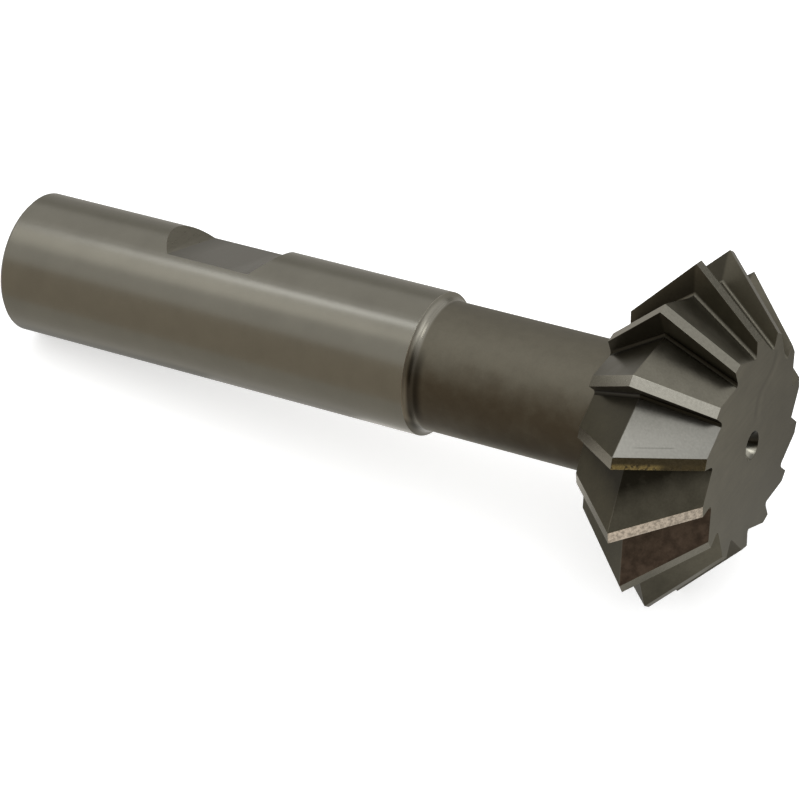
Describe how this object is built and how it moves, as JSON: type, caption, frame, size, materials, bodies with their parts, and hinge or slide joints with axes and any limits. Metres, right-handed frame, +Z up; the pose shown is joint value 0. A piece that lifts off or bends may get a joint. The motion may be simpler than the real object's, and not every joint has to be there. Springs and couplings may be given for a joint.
{
  "type": "double-angle milling cutter",
  "caption": "One-piece steel milling cutter: toothed double-cone head on a plain round shank with a set-screw flat.",
  "frame": {"origin": "middle of the bounding box at its base, on the surface that the cutter lies on", "axes": "+Z up; the cutter lies on two neighbouring teeth and the edge of its shank end; +X from the shank end to the front face; its axis rises 7.51 degrees towards +X"},
  "size_m": [0.0906, 0.038, 0.037],
  "materials": {
    "tool_steel": "ground shank, dull brown-grey neck, ground teeth with bright worn lands"
  },
  "bodies": {
    "root": {"cutter": "tool_steel"}
  },
  "joints": []
}
